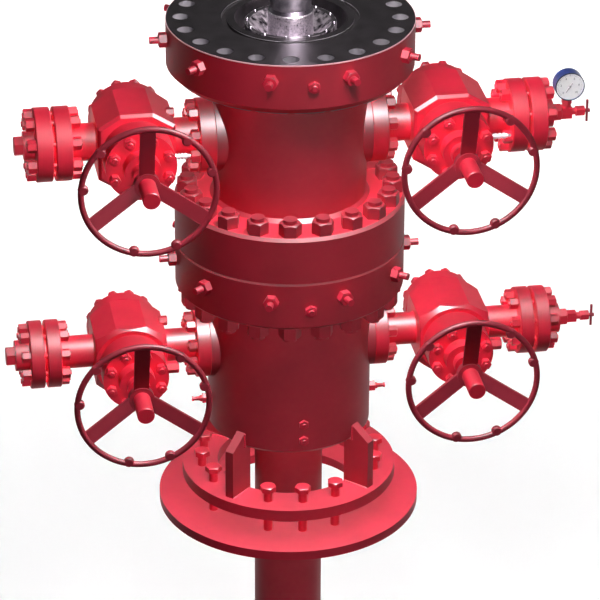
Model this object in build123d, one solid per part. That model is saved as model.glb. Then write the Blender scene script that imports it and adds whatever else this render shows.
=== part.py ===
"""Surface wellhead: a casing head and a casing spool bolted flange to flange, with four
side gate valves. Millimetres, +Z up. The origin is the centre of the surface casing's
lower end, +X runs to the right along the outlets, -Y is the side with the handwheels."""

from build123d import *
import os
from math import cos, radians, sin, tan

# Surface casing and the landing base that it passes through
CASING_R = 109.55
CASING_STUB = 420.0
PLATE_R = 421.0
PLATE_HOLE_R = 232.0
PLATE_T = 30.0
RING_R = 345.0
RING_HOLE_R = 230.0
RING_T = 38.0
RING_GAP = 68.0
GUSSET_COUNT = 4
GUSSET_T = 30.0
GUSSET_REACH = 323.0
GUSSET_SHOULDER = 165.0
GUSSET_PEAK = 212.0
BASE_BOLT_COUNT = 16
BASE_BOLT_RING_R = 284.0
BASE_BOLT_R = 14.5
BASE_BOLT_PROUD = 36.0
BASE_BOLT_HEAD_AF = 46.0
BASE_BOLT_HEAD_T = 18.0
BASE_BOLT_SEAT = 10.0

# Casing head
HEAD_CLEARANCE = 158.0
HEAD_R = 260.0
HEAD_BODY_H = 495.0
HEAD_FOOT_BEVEL = 12.0
HEAD_BORE_R = 158.0
HEAD_BORE_FLOOR = 150.0
MID_FLANGE_T = 152.0
FLANGE_BEVEL = 10.0
BODY_FILLET = 12.0
LOWER_ARM_ABOVE_FOOT = 288.0

# Casing spool
FLANGE_GAP = 8.0
SPOOL_R = 240.0
SPOOL_BODY_H = 417.0
TOP_FLANGE_T = 168.0
TOP_FLANGE_BEVEL = 26.0
UPPER_ARM_BELOW_FACE = 377.0
SPOOL_BORE_R = 173.0
SPOOL_SHOULDER_R = 152.0
SPOOL_SHOULDER_DEPTH = 150.0
TOP_HOLE_COUNT = 20
TOP_HOLE_R = 25.5
TOP_HOLE_RING_R = 336.5
TOP_HOLE_EDGE = 47.5
TOP_GROOVE_R = 213.0
TOP_GROOVE_W = 17.0
TOP_GROOVE_DEPTH = 14.0

# Studs of the two middle flanges
MID_STUD_COUNT = 20
MID_STUD_R = 22.0
MID_STUD_STEP = 62.0
MID_STUD_EDGE = 40.0
MID_NUT_AF = 62.0
MID_NUT_T = 40.0
MID_STUD_END = 12.0
STUD_CLEARANCE = 1.5

# Ring gasket between the middle flanges
GASKET_R = 205.0
GASKET_W = 16.0
GASKET_SEAT = 9.0

# Lockdown screws round the two big flanges
LOCK_COUNT = 10
LOCK_TURN = 18.0
LOCK_DROP = 52.0
LOCK_SHANK_R = 15.0
LOCK_SHANK_IN = 60.0
LOCK_NUT_AF = 42.0
LOCK_NUT_T = 24.0
LOCK_STEM_R = 11.0
LOCK_STEM_L = 28.0
LOCK_STANDOFF = 1.0
LOCK_FIT = 0.15

# Form of every hexagon nut, screw head and plug
HEX_SIDES = 6
NUT_FACE_SHARE = 0.95
NUT_BEVEL_ANGLE = 30.0

# Hanger and the inner casing
HANGER_TOP_R = 141.0
HANGER_DROP = 14.0
HANGER_NECK = 62.0
HANGER_FIT = 0.3
BOWL_R = 128.0
BOWL_FLOOR_R = 78.0
BOWL_DEPTH = 44.0
SLIP_COUNT = 4
SLIP_GAP = 6.0
SLIP_GAP_IN = 8.0
INNER_CASING_R = 63.5
INNER_CASING_BORE_R = 57.15
INNER_CASING_ABOVE = 165.0
INNER_CASING_BELOW = 620.0
COUPLING_R = 70.65
COUPLING_ABOVE = 38.0
COUPLING_BEVEL = 16.0
COUPLING_LIP = 1.0

# Side valves. The two sizes share one form, and each has its own dimensions
PAD_PROUD = 4.0
RIM_EDGE = 2.5
SHOULDER_ANGLE = 32.0
REAR_LEDGE = 6.0
TURNED_SLOPE = 1.3
COVER_BEVEL = 4.0
RIM_PITCH_R = 205.0
RIM_BAR_R = 9.5
RIM_PLANE = -392.0
HUB_PLANE = -341.0
HUB_R = 40.0
HUB_T = 24.0
SPOKE_ROOT = 6.0
SPOKE_COUNT = 3
SPOKE_W = 47.0
SPOKE_T = 11.0
KNOB_R = 16.0
KNOB_T = 19.0
KNOB_BEVEL = 4.0
KNOB_RING_R = 199.0
KNOB_ANGLES = (36.0, 74.0)
CAP_R = 27.0
CAP_L = 106.0
CAP_BEVEL = 2.0
STEM_R = 16.0
STEM_IN = 60.0
STEM_END_GAP = 5.0
STEM_FIT = 0.05
BONNET_JOINT = 3.0
BONNET_BOSS_R = 57.0
BONNET_BOSS_L = 46.0
GLAND_R = 36.0
GLAND_L = 32.0

# Ends of the arms
END_GAP = 9.0
SEAL_R = 56.0
PLUG_AF = 56.0
PLUG_L = 29.0

# Needle valves and the gauge
NEEDLE_AF = 50.0
NEEDLE_ADAPTER_L = 30.0
NEEDLE_NECK_R = 11.0
NEEDLE_NECK_L = 14.0
NEEDLE_NUT_AF = 30.0
NEEDLE_NUT_L = 28.0
HANDLE_STEM_R = 6.0
HANDLE_STEM_IN = 20.0
HANDLE_BAR_R = 4.0
HANDLE_BAR_L = 73.0
HANDLE_BAR_OUT = 9.0
HANDLE_TIP = 9.0
HANDLE_END_GAP = 1.0
GAUGE_NECK_R = 14.0
GAUGE_NECK_Y = -3.0
GAUGE_NECK_UP = 46.0
GAUGE_R = 47.0
GAUGE_DEPTH = 42.0
GAUGE_RIM_T = 3.0
GAUGE_CENTRE_UP = 102.0
GAUGE_FRONT = -42.0
GAUGE_STEM_R = 10.0
GAUGE_STEM_Y = -7.0
GAUGE_STEM_ROOT = 3.0
DIAL_DEPTH = 5.0
DIAL_T = 2.0

# Radii worked out from the sizes above
MID_STUD_RING_R = HEAD_R + MID_STUD_STEP
MID_FLANGE_R = MID_STUD_RING_R + MID_STUD_EDGE
TOP_FLANGE_R = TOP_HOLE_RING_R + TOP_HOLE_EDGE

# Heights worked out from the sizes above
PLATE_BOTTOM = CASING_STUB
PLATE_TOP = PLATE_BOTTOM + PLATE_T
RING_BOTTOM = PLATE_TOP + RING_GAP
RING_TOP = RING_BOTTOM + RING_T
HEAD_FOOT = RING_TOP + HEAD_CLEARANCE
HEAD_FLANGE_BOTTOM = HEAD_FOOT + HEAD_BODY_H
HEAD_FACE = HEAD_FLANGE_BOTTOM + MID_FLANGE_T
SPOOL_FOOT = HEAD_FACE + FLANGE_GAP
SPOOL_FLANGE_TOP = SPOOL_FOOT + MID_FLANGE_T
TOP_FLANGE_BOTTOM = SPOOL_FLANGE_TOP + SPOOL_BODY_H
TOP_FACE = TOP_FLANGE_BOTTOM + TOP_FLANGE_T
UPPER_ARM = TOP_FACE - UPPER_ARM_BELOW_FACE
LOWER_ARM = HEAD_FOOT + LOWER_ARM_ABOVE_FOOT


class Arm:
    """The sizes of one pair of side valves, left and right."""

    def __init__(self, height, body_r, flange_r, flange_t, neck_r, centre, half_w, half_h,
                 top_half, front, rear, cover_r, cover_t, bonnet_r, bonnet_t, end_face,
                 front_r, front_bevel, base_r, base_l, block):
        self.height = height
        self.body_r = body_r
        self.flange_r = flange_r
        self.flange_t = flange_t
        self.neck_r = neck_r
        self.centre = centre
        self.half_w = half_w
        self.half_h = half_h
        self.top_half = top_half
        self.front = front
        self.rear = rear
        self.cover_r = cover_r
        self.cover_t = cover_t
        self.bonnet_r = bonnet_r
        self.bonnet_t = bonnet_t
        self.end_face = end_face
        self.front_r = front_r
        self.front_bevel = front_bevel
        self.base_r = base_r
        self.base_l = base_l
        self.block = block


upper = Arm(height=UPPER_ARM, body_r=SPOOL_R, flange_r=116.0, flange_t=51.0, neck_r=58.5,
            centre=492.0, half_w=120.0, half_h=128.0, top_half=51.0, front=-110.0, rear=118.0,
            cover_r=122.0, cover_t=50.0, bonnet_r=110.0, bonnet_t=102.0, end_face=739.0,
            front_r=170.0, front_bevel=9.0, base_r=45.0, base_l=34.0, block=(34.0, 34.0, 36.0))
lower = Arm(height=LOWER_ARM, body_r=HEAD_R, flange_r=108.0, flange_t=44.0, neck_r=52.0,
            centre=519.0, half_w=113.0, half_h=120.0, top_half=48.0, front=-110.0, rear=118.0,
            cover_r=115.0, cover_t=50.0, bonnet_r=104.0, bonnet_t=102.0, end_face=783.0,
            front_r=116.0, front_bevel=2.0, base_r=49.0, base_l=44.0, block=(32.0, 28.0, 30.0))


def turned(points):
    """A solid of revolution about Z from (radius, height) corners."""
    outline = Plane.XZ * make_face(Polyline(*points, close=True))
    return revolve(outline, Axis.Z)


def hexagon(across_flats, height):
    """A hexagonal prism standing on the XY plane, with turned corners at its far end."""
    prism = extrude(RegularPolygon(across_flats / 2, HEX_SIDES, major_radius=False), height)
    corner = across_flats / 2 / cos(radians(180 / HEX_SIDES))
    face_r = across_flats / 2 * NUT_FACE_SHARE
    drop = (corner - face_r) * tan(radians(NUT_BEVEL_ANGLE))
    cone = turned([(0, 0), (corner, 0), (corner, height - drop), (face_r, height), (0, height)])
    return prism & cone


def polar(radius, degrees, z=0.0):
    """A point on a circle, with 0 degrees at -Y and turning towards +X."""
    return (radius * sin(radians(degrees)), -radius * cos(radians(degrees)), z)


def spread(count, start=0.0):
    """Evenly spaced angles round the well."""
    return [start + 360 / count * k for k in range(count)]


def around(shape, angles):
    """Copies of a shape modelled at -Y, turned about Z."""
    return [Rot(0, 0, angle) * shape for angle in angles]


def bolt_holes(radius, circle_r, angles, bottom, top):
    """Straight holes through a flange."""
    hole = Pos(*polar(circle_r, 0, bottom)) * Cylinder(
        radius, top - bottom, align=(Align.CENTER, Align.CENTER, Align.MIN))
    return Compound(around(hole, angles))


GUSSET_ANGLES = spread(GUSSET_COUNT, 180 / GUSSET_COUNT)
BASE_BOLT_ANGLES = [angle for angle in spread(BASE_BOLT_COUNT) if angle not in GUSSET_ANGLES]
MID_STUD_ANGLES = spread(MID_STUD_COUNT, 180 / MID_STUD_COUNT)
TOP_HOLE_ANGLES = spread(TOP_HOLE_COUNT, 180 / TOP_HOLE_COUNT)
LOCK_ANGLES = spread(LOCK_COUNT, LOCK_TURN)


def outward(shape):
    """Turns a shape modelled up +Z so that it points out along -Y."""
    return Rot(90, 0, 0) * shape


def along_arm(shape):
    """Turns a shape modelled up +Z so that it points out along +X."""
    return Rot(0, 90, 0) * shape


def sided(shape, side):
    """Leaves a right-hand shape alone and mirrors it for the left."""
    return shape if side > 0 else mirror(shape, Plane.YZ)


def surface_casing():
    """The casing that comes out of the ground, closed by its cement."""
    return Cylinder(CASING_R, HEAD_FOOT + HEAD_BORE_FLOOR,
                    align=(Align.CENTER, Align.CENTER, Align.MIN))


def base_plate():
    """The round plate under the landing ring, with a shallow seat for each bolt."""
    plate = turned([(PLATE_HOLE_R, PLATE_BOTTOM), (PLATE_R, PLATE_BOTTOM),
                    (PLATE_R, PLATE_TOP), (PLATE_HOLE_R, PLATE_TOP)])
    seats = bolt_holes(BASE_BOLT_R + LOCK_FIT, BASE_BOLT_RING_R, BASE_BOLT_ANGLES,
                       PLATE_TOP - BASE_BOLT_SEAT, PLATE_TOP)
    return plate - seats


def landing_ring():
    """The raised ring that carries the gussets."""
    ring = turned([(RING_HOLE_R, RING_BOTTOM), (RING_R, RING_BOTTOM),
                   (RING_R, RING_TOP), (RING_HOLE_R, RING_TOP)])
    holes = bolt_holes(BASE_BOLT_R + LOCK_FIT, BASE_BOLT_RING_R, BASE_BOLT_ANGLES,
                       RING_BOTTOM, RING_TOP)
    return ring - holes


def levelling_bolts():
    """Bolts through the ring that stand on the base plate, heads proud of the ring."""
    shank_bottom = PLATE_TOP - BASE_BOLT_SEAT
    shank = Pos(*polar(BASE_BOLT_RING_R, 0, shank_bottom)) * Cylinder(
        BASE_BOLT_R, RING_TOP + BASE_BOLT_PROUD - shank_bottom,
        align=(Align.CENTER, Align.CENTER, Align.MIN))
    head = Pos(*polar(BASE_BOLT_RING_R, 0, RING_TOP + BASE_BOLT_PROUD)) * hexagon(
        BASE_BOLT_HEAD_AF, BASE_BOLT_HEAD_T)
    return Compound(around(shank + head, BASE_BOLT_ANGLES))


def landing_gussets():
    """Four upright plates between the ring and the casing head."""
    side = Polyline((RING_HOLE_R, RING_TOP), (GUSSET_REACH, RING_TOP),
                    (GUSSET_REACH, RING_TOP + GUSSET_SHOULDER),
                    (HEAD_R, RING_TOP + GUSSET_PEAK), (HEAD_R, HEAD_FOOT),
                    (RING_HOLE_R, HEAD_FOOT), close=True)
    plate = extrude(Plane.XZ * make_face(side), GUSSET_T / 2, both=True)
    return Compound(around(Rot(0, 0, -90) * plate, GUSSET_ANGLES))


def outlet_pads(arm):
    """The flat round facing on each side of a body, where a valve bolts on."""
    face = arm.body_r + PAD_PROUD
    pad = along_arm(Cylinder(arm.flange_r, 2 * face))
    return Pos(0, 0, arm.height) * pad


def casing_head():
    """The lower body: plain foot, thick barrel, top flange and casing bore."""
    body = turned([
        (CASING_R + LOCK_FIT, HEAD_FOOT), (HEAD_R - HEAD_FOOT_BEVEL, HEAD_FOOT),
        (HEAD_R, HEAD_FOOT + HEAD_FOOT_BEVEL), (HEAD_R, HEAD_FLANGE_BOTTOM - BODY_FILLET),
        (HEAD_R + BODY_FILLET, HEAD_FLANGE_BOTTOM),
        (MID_FLANGE_R - FLANGE_BEVEL, HEAD_FLANGE_BOTTOM),
        (MID_FLANGE_R, HEAD_FLANGE_BOTTOM + FLANGE_BEVEL), (MID_FLANGE_R, HEAD_FACE),
        (HEAD_BORE_R, HEAD_FACE), (HEAD_BORE_R, HEAD_FOOT + HEAD_BORE_FLOOR),
        (CASING_R + LOCK_FIT, HEAD_FOOT + HEAD_BORE_FLOOR)])
    body = body + outlet_pads(lower) - turned([
        (0, HEAD_FOOT), (CASING_R + LOCK_FIT, HEAD_FOOT),
        (CASING_R + LOCK_FIT, HEAD_FOOT + HEAD_BORE_FLOOR),
        (HEAD_BORE_R, HEAD_FOOT + HEAD_BORE_FLOOR), (HEAD_BORE_R, HEAD_FACE), (0, HEAD_FACE)])
    body -= bolt_holes(MID_STUD_R + STUD_CLEARANCE, MID_STUD_RING_R, MID_STUD_ANGLES,
                       HEAD_FLANGE_BOTTOM, HEAD_FACE)
    body -= gasket_groove(HEAD_FACE)
    return body - lock_holes(MID_FLANGE_R, HEAD_FACE - LOCK_DROP)


def casing_spool():
    """The upper body, with a studded flange at each end and a shouldered bore."""
    shoulder = TOP_FACE - SPOOL_SHOULDER_DEPTH
    slope = SPOOL_BORE_R - SPOOL_SHOULDER_R
    bore = turned([(0, SPOOL_FOOT), (SPOOL_SHOULDER_R, SPOOL_FOOT),
                   (SPOOL_SHOULDER_R, shoulder - slope), (SPOOL_BORE_R, shoulder),
                   (SPOOL_BORE_R, TOP_FACE), (0, TOP_FACE)])
    body = turned([
        (0, SPOOL_FOOT), (MID_FLANGE_R, SPOOL_FOOT),
        (MID_FLANGE_R, SPOOL_FLANGE_TOP - FLANGE_BEVEL),
        (MID_FLANGE_R - FLANGE_BEVEL, SPOOL_FLANGE_TOP),
        (SPOOL_R + BODY_FILLET, SPOOL_FLANGE_TOP), (SPOOL_R, SPOOL_FLANGE_TOP + BODY_FILLET),
        (SPOOL_R, TOP_FLANGE_BOTTOM - BODY_FILLET), (SPOOL_R + BODY_FILLET, TOP_FLANGE_BOTTOM),
        (TOP_FLANGE_R - TOP_FLANGE_BEVEL, TOP_FLANGE_BOTTOM),
        (TOP_FLANGE_R, TOP_FLANGE_BOTTOM + TOP_FLANGE_BEVEL), (TOP_FLANGE_R, TOP_FACE),
        (0, TOP_FACE)])
    body = body + outlet_pads(upper) - bore
    body -= bolt_holes(MID_STUD_R + STUD_CLEARANCE, MID_STUD_RING_R, MID_STUD_ANGLES,
                       SPOOL_FOOT, SPOOL_FLANGE_TOP)
    body -= bolt_holes(TOP_HOLE_R, TOP_HOLE_RING_R, TOP_HOLE_ANGLES,
                       TOP_FLANGE_BOTTOM, TOP_FACE)
    body -= turned([(TOP_GROOVE_R - TOP_GROOVE_W, TOP_FACE - TOP_GROOVE_DEPTH),
                    (TOP_GROOVE_R, TOP_FACE - TOP_GROOVE_DEPTH), (TOP_GROOVE_R, TOP_FACE),
                    (TOP_GROOVE_R - TOP_GROOVE_W, TOP_FACE)])
    body -= gasket_groove(SPOOL_FOOT)
    return body - lock_holes(TOP_FLANGE_R, TOP_FACE - LOCK_DROP)


def gasket_groove(face):
    """The groove for the ring gasket in a middle flange face, cut both ways from it."""
    return turned([(GASKET_R - GASKET_W / 2 - LOCK_FIT, face - GASKET_SEAT),
                   (GASKET_R + GASKET_W / 2 + LOCK_FIT, face - GASKET_SEAT),
                   (GASKET_R + GASKET_W / 2 + LOCK_FIT, face + GASKET_SEAT),
                   (GASKET_R - GASKET_W / 2 - LOCK_FIT, face + GASKET_SEAT)])


def ring_gasket():
    """The metal ring that holds the two middle flanges apart."""
    low = HEAD_FACE - GASKET_SEAT
    high = SPOOL_FOOT + GASKET_SEAT
    return turned([(GASKET_R - GASKET_W / 2, low), (GASKET_R + GASKET_W / 2, low),
                   (GASKET_R + GASKET_W / 2, high), (GASKET_R - GASKET_W / 2, high)])


def middle_studs():
    """Studs through both middle flanges, each with a nut at both ends."""
    low = HEAD_FLANGE_BOTTOM - MID_NUT_T - MID_STUD_END
    high = SPOOL_FLANGE_TOP + MID_NUT_T + MID_STUD_END
    stud = Pos(*polar(MID_STUD_RING_R, 0, low)) * Cylinder(
        MID_STUD_R, high - low, align=(Align.CENTER, Align.CENTER, Align.MIN))
    top_nut = Pos(*polar(MID_STUD_RING_R, 0, SPOOL_FLANGE_TOP)) * hexagon(MID_NUT_AF, MID_NUT_T)
    low_nut = Pos(*polar(MID_STUD_RING_R, 0, HEAD_FLANGE_BOTTOM)) * Rot(180, 0, 0) * hexagon(
        MID_NUT_AF, MID_NUT_T)
    return Compound(around(stud + top_nut + low_nut, MID_STUD_ANGLES))


def lock_holes(flange_r, height):
    """Radial holes for the lockdown screws."""
    hole = Pos(0, -(flange_r - LOCK_SHANK_IN), height) * outward(
        Cylinder(LOCK_SHANK_R + LOCK_FIT, 2 * LOCK_SHANK_IN,
                 align=(Align.CENTER, Align.CENTER, Align.MIN)))
    return Compound(around(hole, LOCK_ANGLES))


def lockdown_screws(flange_r, height):
    """Screws that hold the hanger down, each with its gland nut and square-ended stem."""
    nut_z = LOCK_SHANK_IN + LOCK_STANDOFF
    shank = Cylinder(LOCK_SHANK_R, nut_z, align=(Align.CENTER, Align.CENTER, Align.MIN))
    nut = Pos(0, 0, nut_z) * hexagon(LOCK_NUT_AF, LOCK_NUT_T)
    stem = Pos(0, 0, nut_z + LOCK_NUT_T) * Cylinder(
        LOCK_STEM_R, LOCK_STEM_L, align=(Align.CENTER, Align.CENTER, Align.MIN))
    screw = Pos(0, -(flange_r - LOCK_SHANK_IN), height) * outward(shank + nut + stem)
    return Compound(around(screw, LOCK_ANGLES))


def casing_hanger():
    """The hanger on the spool's shoulder, its bowl split into slips round the inner casing."""
    shoulder = TOP_FACE - SPOOL_SHOULDER_DEPTH
    slope = SPOOL_BORE_R - SPOOL_SHOULDER_R
    outer = SPOOL_BORE_R - HANGER_FIT
    inner = INNER_CASING_R + HANGER_FIT
    top = TOP_FACE - HANGER_DROP
    floor = top - BOWL_DEPTH
    body = turned([
        (inner, shoulder - slope), (SPOOL_SHOULDER_R, shoulder - slope),
        (outer, shoulder - HANGER_FIT), (outer, top - HANGER_NECK), (HANGER_TOP_R, top - HANGER_NECK),
        (HANGER_TOP_R, top), (BOWL_R, top), (BOWL_FLOOR_R, floor), (inner, floor)])
    gap = Pos(*polar(BOWL_FLOOR_R, 0, floor - SLIP_GAP_IN)) * Box(
        SLIP_GAP, BOWL_R - BOWL_FLOOR_R, BOWL_DEPTH, align=(Align.CENTER, Align.MAX, Align.MIN))
    return body - Compound(around(gap, spread(SLIP_COUNT, 180 / SLIP_COUNT)))


def inner_casing():
    """The inner casing, which stands up out of the hanger with its bore open."""
    return turned([
        (INNER_CASING_BORE_R, TOP_FACE - INNER_CASING_BELOW),
        (INNER_CASING_R, TOP_FACE - INNER_CASING_BELOW),
        (INNER_CASING_R, TOP_FACE + INNER_CASING_ABOVE),
        (INNER_CASING_BORE_R, TOP_FACE + INNER_CASING_ABOVE)])


def casing_coupling():
    """The coupling on the inner casing, standing on the floor of the hanger's bowl."""
    low = TOP_FACE - HANGER_DROP - BOWL_DEPTH
    high = TOP_FACE + COUPLING_ABOVE
    return turned([
        (INNER_CASING_R + HANGER_FIT, low), (COUPLING_R, low), (COUPLING_R, high - COUPLING_BEVEL),
        (INNER_CASING_R + COUPLING_LIP, high), (INNER_CASING_R + HANGER_FIT, high)])


def octagon_face(arm):
    """The valve body's cross-section, wide top and bottom flats and sloping shoulders."""
    shoulder = arm.half_h - (arm.half_w - arm.top_half) * tan(radians(SHOULDER_ANGLE))
    quarter = [(arm.top_half, arm.half_h), (arm.half_w, shoulder)]
    right = quarter + [(x, -z) for x, z in reversed(quarter)]
    left = [(-x, -z) for x, z in right]
    return Plane.XZ * make_face(Polyline(*right, *left, close=True))


def flange_rim(radius, low, high):
    """The outer corners of a turned flange, with both of its edges eased."""
    return [(radius - RIM_EDGE, low), (radius, low + RIM_EDGE), (radius, high - RIM_EDGE),
            (radius - RIM_EDGE, high)]


def valve_body(arm, side):
    """Gate valve body: an eight-sided block turned down at its ends, with both flanges."""
    depth = arm.rear - arm.front
    block = Pos(0, arm.rear, 0) * extrude(octagon_face(arm), depth)
    block = chamfer(block.faces().sort_by(Axis.Y)[0].edges(), arm.front_bevel)
    corner = (arm.half_w ** 2 + arm.half_h ** 2) ** 0.5
    lathe = outward(turned([
        (0, 0), (arm.cover_r - REAR_LEDGE, 0),
        (corner, (corner - arm.cover_r) * TURNED_SLOPE),
        (corner, depth - (corner - arm.front_r) * TURNED_SLOPE), (arm.front_r, depth), (0, depth)]))
    block = block & (Pos(0, arm.rear, 0) * lathe)
    inner = arm.body_r + PAD_PROUD - arm.centre
    outer = arm.end_face - arm.centre
    pipe = along_arm(turned([
        (0, inner), *flange_rim(arm.flange_r, inner, inner + arm.flange_t),
        (arm.neck_r, inner + arm.flange_t), (arm.neck_r, outer - arm.flange_t),
        *flange_rim(arm.flange_r, outer - arm.flange_t, outer), (0, outer)]))
    return sided(Pos(arm.centre, 0, arm.height) * (block + pipe), side)


def rear_covers():
    """The round covers bolted on the back of the four valve bodies."""
    covers = []
    for arm in (upper, lower):
        for side in (1, -1):
            disc = outward(turned([
                (0, -arm.cover_t), (arm.cover_r - COVER_BEVEL, -arm.cover_t),
                (arm.cover_r, COVER_BEVEL - arm.cover_t), (arm.cover_r, 0), (0, 0)]))
            covers.append(Pos(side * arm.centre, arm.rear, arm.height) * disc)
    return Compound(covers)


def bonnet(arm, side):
    """The round bonnet on the front of a valve, with its boss, gland and stem bore."""
    front = arm.bonnet_t
    boss = front + BONNET_BOSS_L
    gland = boss + GLAND_L
    shape = turned([
        (0, 0), (arm.bonnet_r - BONNET_JOINT, 0), (arm.bonnet_r - BONNET_JOINT, BONNET_JOINT),
        (arm.bonnet_r, BONNET_JOINT), (arm.bonnet_r, front), (BONNET_BOSS_R, front),
        (BONNET_BOSS_R, boss), (GLAND_R, boss), (GLAND_R, gland), (0, gland)])
    hole = Pos(0, 0, gland - STEM_IN) * Cylinder(
        STEM_R + STEM_FIT, STEM_IN, align=(Align.CENTER, Align.CENTER, Align.MIN))
    return Pos(side * arm.centre, arm.front, arm.height) * outward(shape - hole)


def handwheel(arm, side):
    """Dished handwheel: round rim with finger knobs, three flat spokes and a hub."""
    rim = revolve(Plane.XZ * Pos(-RIM_PITCH_R, 0) * Circle(RIM_BAR_R), Axis.Z)
    dish = HUB_PLANE - RIM_PLANE
    hub = Pos(0, 0, -dish) * Cylinder(HUB_R, HUB_T)
    hub -= Pos(0, 0, -dish) * Cylinder(STEM_R, HUB_T)
    spoke = flat_spoke(dish)
    knob = Pos(0, KNOB_RING_R, 0) * turned([
        (0, -KNOB_T / 2), (KNOB_R - KNOB_BEVEL, -KNOB_T / 2), (KNOB_R, KNOB_BEVEL - KNOB_T / 2),
        (KNOB_R, KNOB_T / 2 - KNOB_BEVEL), (KNOB_R - KNOB_BEVEL, KNOB_T / 2), (0, KNOB_T / 2)])
    wheel = rim + hub
    for k in range(SPOKE_COUNT):
        turn = -360 / SPOKE_COUNT * k
        wheel += Rot(0, 0, turn) * spoke
        for angle in KNOB_ANGLES:
            wheel += Rot(0, 0, turn - angle) * knob
    return Pos(side * arm.centre, RIM_PLANE, arm.height) * outward(wheel)


def flat_spoke(dish):
    """One flat spoke, sloping from the hub out to the rim."""
    start = HUB_R - SPOKE_ROOT
    side = Polyline((start, -dish - SPOKE_T / 2), (RIM_PITCH_R, -SPOKE_T / 2),
                    (RIM_PITCH_R, SPOKE_T / 2), (start, SPOKE_T / 2 - dish), close=True)
    return extrude(Plane.YZ * make_face(side), SPOKE_W / 2, both=True)


def stem_cap(arm, side):
    """The stem that goes into the bonnet and the long cap on the front of the wheel."""
    gland = arm.front - arm.bonnet_t - BONNET_BOSS_L - GLAND_L
    stem_end = gland + STEM_IN - STEM_END_GAP
    stem = Pos(0, stem_end, 0) * outward(Cylinder(
        STEM_R, stem_end - (HUB_PLANE - HUB_T / 2), align=(Align.CENTER, Align.CENTER, Align.MIN)))
    cap = Pos(0, HUB_PLANE - HUB_T / 2, 0) * outward(turned([
        (0, 0), (CAP_R, 0), (CAP_R, CAP_L - CAP_BEVEL), (CAP_R - CAP_BEVEL, CAP_L), (0, CAP_L)]))
    return Pos(side * arm.centre, 0, arm.height) * (stem + cap)


def end_flange(arm, side):
    """The blind flange on the end of an arm, with a round base for its plug or small valve."""
    face = arm.end_face + END_GAP
    shape = along_arm(turned([
        (0, face), *flange_rim(arm.flange_r, face, face + arm.flange_t),
        (arm.base_r, face + arm.flange_t), (arm.base_r, arm_end(arm)), (0, arm_end(arm))]))
    seal = along_arm(Pos(0, 0, arm.end_face) * Cylinder(
        SEAL_R, END_GAP, align=(Align.CENTER, Align.CENTER, Align.MIN)))
    return sided(Pos(0, 0, arm.height) * (shape + seal), side)


def arm_end(arm):
    """The distance from the well's axis to the outer face of an end flange's base."""
    return arm.end_face + END_GAP + arm.flange_t + arm.base_l


def end_plug(arm, side):
    """The hexagon plug in the middle of an end flange."""
    return sided(Pos(arm_end(arm), 0, arm.height) * along_arm(hexagon(PLUG_AF, PLUG_L)), side)


def needle_nut_end(arm):
    """The distance from the well's axis to the end of a needle valve's packing nut."""
    return arm_end(arm) + NEEDLE_ADAPTER_L + arm.block[0] + NEEDLE_NECK_L + NEEDLE_NUT_L


def needle_valve(arm):
    """The small valve on the right end of an arm, from its adapter to its packing nut."""
    adapter = Pos(arm_end(arm), 0, 0) * along_arm(hexagon(NEEDLE_AF, NEEDLE_ADAPTER_L))
    block_x = arm_end(arm) + NEEDLE_ADAPTER_L
    block = Pos(block_x, 0, 0) * Box(*arm.block, align=(Align.MIN, Align.CENTER, Align.CENTER))
    neck_x = block_x + arm.block[0]
    neck = Pos(neck_x, 0, 0) * along_arm(Cylinder(
        NEEDLE_NECK_R, NEEDLE_NECK_L, align=(Align.CENTER, Align.CENTER, Align.MIN)))
    nut = Pos(neck_x + NEEDLE_NECK_L, 0, 0) * along_arm(hexagon(NEEDLE_NUT_AF, NEEDLE_NUT_L))
    hole = Pos(needle_nut_end(arm) - HANDLE_STEM_IN, 0, 0) * along_arm(Cylinder(
        HANDLE_STEM_R + STEM_FIT, HANDLE_STEM_IN, align=(Align.CENTER, Align.CENTER, Align.MIN)))
    return Pos(0, 0, arm.height) * (adapter + block + neck + nut - hole)


def gauge_neck():
    """The round neck on the upper needle valve that the gauge is screwed into."""
    foot = upper.block[2] / 2
    return Pos(gauge_axis_x(), GAUGE_NECK_Y, upper.height + foot) * Cylinder(
        GAUGE_NECK_R, GAUGE_NECK_UP - foot, align=(Align.CENTER, Align.CENTER, Align.MIN))


def needle_handle(arm):
    """The needle valve's stem with its cross bar."""
    nut_end = needle_nut_end(arm)
    start = nut_end - HANDLE_STEM_IN + HANDLE_END_GAP
    tip = nut_end + HANDLE_BAR_OUT + HANDLE_TIP
    stem = Pos(start, 0, arm.height) * along_arm(Cylinder(
        HANDLE_STEM_R, tip - start, align=(Align.CENTER, Align.CENTER, Align.MIN)))
    bar = Pos(nut_end + HANDLE_BAR_OUT, 0, arm.height) * Cylinder(HANDLE_BAR_R, HANDLE_BAR_L)
    return stem + bar


def gauge_axis_x():
    """The gauge stands over the middle of the upper needle valve's block."""
    return arm_end(upper) + NEEDLE_ADAPTER_L + upper.block[0] / 2


def gauge_case():
    """The round case with its rim, open at the front, and the stem under it."""
    inside = GAUGE_R - GAUGE_RIM_T
    floor = GAUGE_DEPTH - DIAL_DEPTH
    cup = outward(turned([(0, 0), (GAUGE_R, 0), (GAUGE_R, GAUGE_DEPTH), (inside, GAUGE_DEPTH),
                          (inside, floor), (0, floor)]))
    cup = Pos(0, GAUGE_FRONT + GAUGE_DEPTH, GAUGE_CENTRE_UP) * cup
    stem = Pos(0, GAUGE_STEM_Y, GAUGE_NECK_UP) * Cylinder(
        GAUGE_STEM_R, GAUGE_CENTRE_UP - GAUGE_R - GAUGE_NECK_UP + GAUGE_STEM_ROOT,
        align=(Align.CENTER, Align.CENTER, Align.MIN))
    return Pos(gauge_axis_x(), 0, upper.height) * (cup + stem)


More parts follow.
